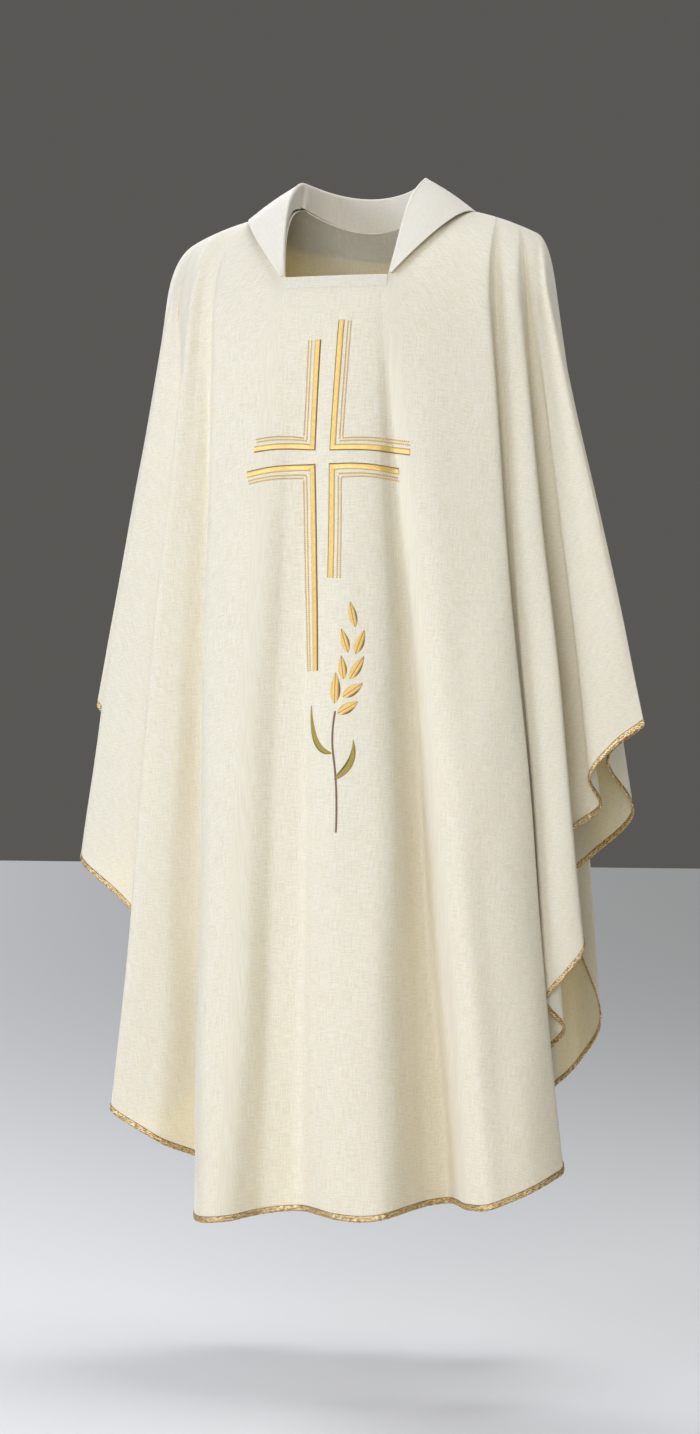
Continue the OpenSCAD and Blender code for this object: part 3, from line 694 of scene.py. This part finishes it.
class Collar:
    """Turned-down collar. t runs from the left front corner (0) round the back to the right
    one (1); way runs from 0 at a front corner past 1 at a neck point to 2 at the back's middle."""

    LIFT = 6.0  # height of the free edge over the shoulders
    FOOT = 1.2  # height of the stand's lower edge above the neck edge
    ROUNDS = 60  # passes that round off the bends over the shoulders

    def __init__(self, count):
        t = np.linspace(0.006, 0.994, count)
        self.side = np.where(t < 0.5, 1.0, -1.0)
        self.way = np.where(t < 0.5, 4 * t, 4 * (1 - t))
        self.near = np.clip(self.way, 0, 1)
        self.round = np.clip(self.way - 1, 0, 1)
        self.in_front = self.way <= 1

    def pick(self, a, b):
        return np.where(self.in_front[:, None], a, b)

    def foot(self):
        """Line where the stand meets the neck's edge."""
        w, s = self.near, self.side
        x = lerp(NECK_FRONT_HALF, NECK_HALF, w)
        z = -NECK_FRONT_DROP * (1 - w)
        ahead = np.stack([s * x, body_y(x, z, True), z], -1)
        x = NECK_HALF * np.cos(np.pi / 2 * self.round)
        z = -NECK_BACK_DROP * (1 - (x / NECK_HALF) ** 2)
        behind = np.stack([s * x, body_y(x, z, False), z], -1)
        return self.pick(ahead, behind)

    def crest(self):
        """Line where the collar turns down."""
        foot = self.foot()
        up = COLLAR_STAND * smooth(self.way / 1.05) + COLLAR_BACK_RISE * smooth(self.way - 1)
        inwards = -0.06 * up * np.sign(foot[:, 0]) * self.near
        forwards = -0.12 * up * smooth(self.way - 1)
        return foot + np.stack([inwards, forwards, up + self.FOOT], -1)

    def tip(self):
        """The collar's free edge."""
        w, s, reach = self.near, self.side, NECK_HALF + COLLAR_REACH
        k = smooth(w) * 0.35 + w * 0.65
        x = lerp(NECK_FRONT_HALF + 3, reach, k)
        z = lerp(-NECK_FRONT_DROP, seam_z(reach), k)
        y = body_y(x, z, True) - self.LIFT * (1 - w) * 0.6 - 2
        ahead = np.stack([s * x, y, z + self.LIFT * w], -1)
        b = np.pi / 2 * self.round
        x = reach * np.maximum(np.cos(b), 0) ** 0.8
        z = lerp(seam_z(reach), -NECK_BACK_DROP - COLLAR_BACK_FALL, np.sin(b))
        y = body_y(x, z, False) + self.LIFT * np.sin(b)
        behind = np.stack([s * x, y, z + self.LIFT * (1 - np.sin(b)) + 2], -1)
        return self.pick(ahead, behind)

    def grid(self, fine=36):
        """The collar's middle surface, as rows from its foot over the crest to its free edge."""
        foot, crest, tip = self.foot() + [0, 0, self.FOOT], self.crest(), self.tip()
        span = np.linalg.norm(tip - crest, axis=1)[:, None]
        out = unit((tip - crest) * [1, 1, 0])
        r = np.minimum(4, 0.25 * span + 0.4)
        up = np.array([0, 0, 1.0])
        rows = [
            foot,
            lerp(foot, crest, 0.5),
            crest - up * r * 0.6,
            crest + out * r * 0.4 + up * r * 0.1,
            crest + out * r * 1.2 - up * r * 0.4,
            lerp(crest, tip, 0.4) + up * 0.04 * span,
            lerp(crest, tip, 0.7) + up * 0.03 * span,
            tip,
        ]
        rows = np.array(rows)
        soft = rows.copy()
        for _ in range(self.ROUNDS):
            soft[:, 1:-1] = (soft[:, :-2] + 2 * soft[:, 1:-1] + soft[:, 2:]) / 4
        rows = lerp(rows, soft, np.minimum(np.arange(len(rows)) / 2, 1)[:, None, None])
        knots = np.arange(len(rows), dtype=float)
        at = np.linspace(0, len(rows) - 1, fine)
        flat = hermite(knots, rows.reshape(len(rows), -1), at)
        return flat.reshape(fine, -1, 3)


collar_grid = Collar(200).grid()
upper = sheet_piece(
    "collar_top", collar_grid, -1, 0.38, 0.7, painted_lit_ivory, "upper_collar"
)
under = sheet_piece(
    "collar_under", collar_grid, -1, -0.38, 0.7, painted_lit_ivory, "under_collar"
)

# ---------------------------------------------------------------- embroidery
# The front's height field: depth of the cloth's outer face over x and z, where the stitching lies.
FIELD_STEP = 2.0
FIELD_X = np.arange(-124, 124.1, FIELD_STEP)
FIELD_Z = np.arange(-800, -139.9, FIELD_STEP)


def depth_field():
    skin = front_grid + normals(front_grid, front.turn) * (CLOTH_T / 2)
    rows, cols, _ = skin.shape
    tree = BVHTree.FromPolygons(skin.reshape(-1, 3).tolist(), grid_faces(rows, cols).tolist())
    field = np.empty((len(FIELD_Z), len(FIELD_X)))
    ahead = Vector((0, 1, 0))
    for j, z in enumerate(FIELD_Z):
        for i, x in enumerate(FIELD_X):
            field[j, i] = tree.ray_cast(Vector((x, -400, z)), ahead)[0].y
    return field


FIELD = depth_field()


def front_y(x, z):
    """Depth of the front's outer face at places x and z, read from the height field."""
    fx = np.clip((x - FIELD_X[0]) / FIELD_STEP, 0, len(FIELD_X) - 1.001)
    fz = np.clip((z - FIELD_Z[0]) / FIELD_STEP, 0, len(FIELD_Z) - 1.001)
    i, j = fx.astype(int), fz.astype(int)
    a, b = fx - i, fz - j
    return (
        FIELD[j, i] * (1 - a) * (1 - b)
        + FIELD[j, i + 1] * a * (1 - b)
        + FIELD[j + 1, i] * (1 - a) * b
        + FIELD[j + 1, i + 1] * a * b
    )


def on_front(x, z, height):
    """Points a height above the front's outer face, at places given by x and z."""
    x, z, height = np.broadcast_arrays(x, z, height)
    reach = 5.0
    slope_x = (front_y(x + reach, z) - front_y(x - reach, z)) / (2 * reach)
    slope_z = (front_y(x, z + reach) - front_y(x, z - reach)) / (2 * reach)
    n = unit(np.stack([slope_x, -np.ones_like(slope_x), slope_z], -1))
    base = np.stack([x, front_y(x, z), z], -1)
    return base + n * height[..., None]


def resample(path, step):
    """Points about a step apart along a path of [x, z] points, with its corners kept."""
    path = np.array(path, float)
    out = []
    for a, b in zip(path[:-1], path[1:]):
        n = max(1, round(np.linalg.norm(b - a) / step))
        out += [lerp(a, b, k / n) for k in range(n)]
    return np.array(out + [path[-1]])


def side_steps(path):
    """Unit steps to the left of a flat path, mitred at its corners."""
    ahead = unit(np.gradient(path, axis=0))
    return np.stack([-ahead[:, 1], ahead[:, 0]], -1)


# Each quarter of the cross is an L: corner, end of the upright, end of the arm.
QUARTERS = {
    "upper_right": [[-24, -312], [-17, -183], [-96, -313]],
    "upper_left": [[2, -313], [12, -160], [95, -320]],
    "lower_right": [[-24, -336], [-16, -580], [-105, -343]],
    "lower_left": [[1, -336], [0, -469], [80, -342]],
}
BAND_W = 7.8
BAND_H = 1.3
RING_STEP = 0.55
LINE_OFFSET = 8.2
LINE_GAP = 3.7
ARM_BOW = 2.6
ARM_FLAT_START = 400  # where the arm's flat coordinates begin, clear of the upright's
SKIN = 0.02  # how far stitching floats over the cloth


def quarter_sides(quarter, d):
    """The L's corner and ends, moved a distance d into its inside."""
    corner, up, arm = (np.array(p, float) for p in quarter)
    u, a = unit(up - corner), unit(arm - corner)
    return up + a * d, corner + (u + a) * d, arm + u * d, u, a


def band_profile(n=11):
    """Across a satin band: place from -0.5 to 0.5 and height from 0 to 1."""
    p = np.linspace(-1, 1, n)
    return p / 2, (1 - np.abs(p) ** 3.2) ** 0.6


def make_band(name, quarter, node):
    """An L of satin stitch, mitred at its corner."""
    up_end, corner, arm_end, u, a = quarter_sides(quarter, 0)
    p, h = band_profile()
    rings, flats = [], []
    for start, stop, across, flip in ((up_end, corner, a, 1), (corner, arm_end, u, -1)):
        length = np.linalg.norm(stop - start)
        n = int(length / RING_STEP)
        flat_start = 0 if flip == 1 else ARM_FLAT_START
        for k in range(n + 1):
            s = k / n
            centre = lerp(start, stop, s)
            if flip < 0:
                centre[1] += ARM_BOW * math.sin(math.pi * s)
            at_corner = (1 - s) * length if flip == 1 else s * length
            # towards the corner the ring leans over to the mitre line
            lean = (stop - start) / length * flip * p[:, None] * BAND_W
            share = smooth(1 - at_corner / BAND_W)
            place = centre + across * p[:, None] * BAND_W - lean * share
            thread = 0.10 * np.sin(2 * math.pi * (s * length + p * 2.2) / 1.25)
            height = h * (BAND_H + thread) + SKIN
            rings.append(on_front(place[:, 0], place[:, 1], height))
            flats.append(np.stack([p * BAND_W, np.full(len(p), s * length + flat_start)], -1))
    rings, flats = np.array(rings), np.array(flats) * MM
    points, faces, uv = sweep_mesh(rings, flats)
    return make_piece(name, points, faces, uv, gold_thread, node, sharp=80)


def make_stitches(name, path_list, width, height, pitch, length, node):
    """Rows of single stitches: small rounded grains along each path."""
    around, stations = 6, np.array([0, 0.12, 0.5, 0.88, 1.0])
    fat = np.array([0.25, 0.75, 1.0, 0.75, 0.25])
    angle = np.linspace(0, np.pi, around)
    points, faces, uv, base = [], [], [], 0
    for path in path_list:
        path = np.array(path, float)
        total = along(path)
        count = int(total[-1] / pitch)
        for k in range(count):
            middle = (k + 0.5) * pitch
            jitter = rng.uniform(-0.12, 0.12, 2)
            ends = middle + np.array([-0.5, 0.5]) * length
            a, b = (
                np.array([np.interp(e, total, path[:, c]) for c in (0, 1)]) + jitter for e in ends
            )
            ahead = unit(b - a)
            left = np.array([-ahead[1], ahead[0]])
            for station, f in zip(stations, fat):
                c = lerp(a, b, station)
                flat = c[None] + left[None] * (np.cos(angle) * width / 2 * f)[:, None]
                points.append(on_front(flat[:, 0], flat[:, 1], np.sin(angle) * height * f + SKIN))
                reached = np.full(around, middle + station * length)
                uv.append(np.stack([np.cos(angle) * width / 2, reached], -1))
            n = len(stations)
            for j in range(n - 1):
                for i in range(around):
                    p0, p1 = base + j * around + i, base + j * around + (i + 1) % around
                    faces.append([p0, p1, p1 + around, p0 + around])
            faces.append([base + i for i in range(around)][::-1])
            faces.append([base + (n - 1) * around + i for i in range(around)])
            base += n * around
    flat = np.concatenate(uv) * MM
    return make_piece(
        name, np.concatenate(points), faces, flat, line_thread, node, sharp=75
    )


for key, quarter in QUARTERS.items():
    make_band(f"{key}_satin", quarter, f"cross_{key}_band")
    lines = []
    for d in (LINE_OFFSET, LINE_OFFSET + LINE_GAP):
        up_end, corner, arm_end, u, _ = quarter_sides(quarter, d)
        share = np.linspace(0, 1, 25)[:, None]
        arm = lerp(corner, arm_end, share) + [0, ARM_BOW] * np.sin(np.pi * share)
        lines += [[up_end, corner + u * 0.8], arm]
    stitch = {"width": 2.1, "height": 0.85, "pitch": 2.5, "length": 1.9}
    make_stitches(f"{key}_lines", lines, **stitch, node=f"cross_{key}_lines")


def petal(name, path, width, height, mat, node, full=0.42, slant=1.1):
    """A leaf or kernel in satin stitch: two rows of slanting threads that meet at a rib. It is
    widest at the share full of its length."""
    path = resample(path, 0.5)
    s = along(path)
    share = s / s[-1]
    bias = math.log(0.5) / math.log(full)
    half = width / 2 * (0.05 + 0.95 * np.sin(np.pi * np.minimum(share, 1) ** bias) ** 0.9)
    left = side_steps(path)
    q = np.linspace(-1, 1, 17)
    place = path[:, None] + left[:, None] * (q[None] * half[:, None])[..., None]
    dome = (1 - np.abs(q) ** 3) ** 0.7 * (0.72 + 0.28 * np.minimum(np.abs(q) / 0.28, 1))
    back = slant * np.abs(q)[None] * half[:, None]
    threads = 0.09 * np.sin(2 * math.pi * (s[:, None] - back) / 1.1)
    rise = height * (0.35 + 0.65 * np.sin(np.pi * share) ** 0.5)[:, None]
    top = on_front(place[..., 0], place[..., 1], dome[None] * (rise + threads) + SKIN)
    flat = np.stack(np.broadcast_arrays(q[None] * half[:, None], s[:, None]), -1) * MM
    points, faces, uv = sweep_mesh(top, flat)
    return make_piece(name, points, faces, uv, mat, node, sharp=80)


# Kernels of the ear, from the top: base, tip and width.
KERNELS = [
    [[32, -528], [25, -498], 10], [[24, -558], [15, -530], 10], [[33, -560], [43, -532], 11],
    [[20, -590], [16, -562], 10], [[27, -590], [43, -563], 11], [[11, -619], [10.5, -582], 12],
    [[20, -611], [42, -595], 12], [[15, -631], [37, -617], 12],
]
for number, (base, tip, width) in enumerate(KERNELS, 1):
    node = f"wheat_kernel_{number}"
    petal(f"kernel_{number}", [base, tip], width, 1.5, kernel_thread, node)


def arc(a, b, c, n=30):
    """A curve from a to c that is pulled towards b."""
    a, b, c = (np.array(p, float) for p in (a, b, c))
    t = np.linspace(0, 1, n)[:, None]
    return a * (1 - t) ** 2 + b * 2 * t * (1 - t) + c * t**2


LEAVES = {
    "left": arc([15, -709], [38, -692], [33, -662]),
    "right": arc([10.5, -678], [-19, -676], [-21, -621]),
}
for key, path in LEAVES.items():
    node = f"wheat_leaf_{key}"
    petal(f"leaf_{key}", path, 8, 1.2, olive_thread, node, full=0.36)


def make_stem():
    """The ear's stem: one thick twisted thread."""
    lower = arc([19, -772], [20, -720], [12.5, -680])
    upper = arc([12, -676], [8.5, -655], [12, -628])
    path = resample(np.concatenate([lower, upper]), 0.6)
    s = along(path)
    left = side_steps(path)
    angle = np.linspace(0, np.pi, 9)
    twist = 0.12 * np.sin(2 * math.pi * s[:, None] / 2.2 + angle[None] * 1.5)
    wide = np.cos(angle)[None] * (1.1 + twist)
    high = np.sin(angle)[None] * (0.95 + twist) + SKIN
    place = path[:, None] + left[:, None] * wide[..., None]
    rings = on_front(place[..., 0], place[..., 1], high)
    flat = np.stack(np.broadcast_arrays(wide, s[:, None]), -1) * MM
    points, faces, uv = sweep_mesh(rings, flat)
    return make_piece(
        "stem", points, faces, uv, stem_thread, "wheat_stem", sharp=80
    )


make_stem()


# ---------------------------------------------------------------- floor, light, camera
FLOOR_Z = -1.45
FLOOR_HALF = 14.0


def make_floor():
    mat = Nodes("studio_floor").finish(Base_Color=(0.72, 0.70, 0.64, 1.0), Roughness=0.7)
    mesh = bpy.data.meshes.new("studio_floor")
    r = FLOOR_HALF
    corners = [(x, y, FLOOR_Z) for x, y in ((-r, -r), (r, -r), (r, r), (-r, r))]
    mesh.from_pydata(corners, [], [(0, 1, 2, 3)])
    mesh.materials.append(mat)
    floor = bpy.data.objects.new("studio_floor", mesh)
    bpy.context.scene.collection.objects.link(floor)


def aimed(name, data, place, heading):
    """A light or camera at a place, looking along a heading."""
    thing = bpy.data.objects.new(name, data)
    bpy.context.scene.collection.objects.link(thing)
    thing.location = place
    thing.rotation_euler = Vector(heading).to_track_quat("-Z", "Y").to_euler()
    return thing


def make_light(name, place, aim, size, power, colour):
    light = bpy.data.lights.new(name, "AREA")
    light.shape, light.size, light.energy, light.color = "DISK", size, power, colour
    aimed(name, light, place, Vector(aim) - Vector(place))


make_floor()
make_light("key", (-2.9, -3.2, 0.2), (0, 0, -0.7), 2.2, 112, (0.71, 0.77, 1.0))
make_light("fill", (0.3, -4.4, 0.1), (0, 0, -0.7), 2.6, 112, (0.86, 0.875, 1.0))
make_light("top", (0.6, 0.4, 2.6), (0, 0, -0.5), 2.2, 76, (0.84, 0.88, 1.0))
rear = bpy.data.lights.new("rear", "SUN")
rear.energy, rear.angle, rear.color = 2.2, math.radians(25), (0.86, 0.91, 1.0)
aimed("rear", rear, (0, 0, 0), (2.0, -3.0, -1.4))

bpy.context.scene.view_settings.view_transform = "Standard"
world = bpy.data.worlds.new("studio")
world.use_nodes = True
background = world.node_tree.nodes["Background"]
background.inputs["Color"].default_value = (1.0, 0.96, 0.90, 1)
background.inputs["Strength"].default_value = 0.1
bpy.context.scene.world = world

AZIMUTH = math.radians(15)
DISTANCE = 4.2
SIDE_SHIFT = -0.0174
CAMERA_Z = -0.635
camera_data = bpy.data.cameras.new("camera")
camera_data.sensor_fit = "VERTICAL"
camera_data.sensor_height = 36.0
camera_data.lens = 85.03
right = Vector((math.cos(AZIMUTH), math.sin(AZIMUTH), 0))
ahead = Vector((-math.sin(AZIMUTH), math.cos(AZIMUTH), 0))
place = right * SIDE_SHIFT - ahead * DISTANCE + Vector((0, 0, CAMERA_Z))
bpy.context.scene.camera = aimed("camera", camera_data, place, ahead)
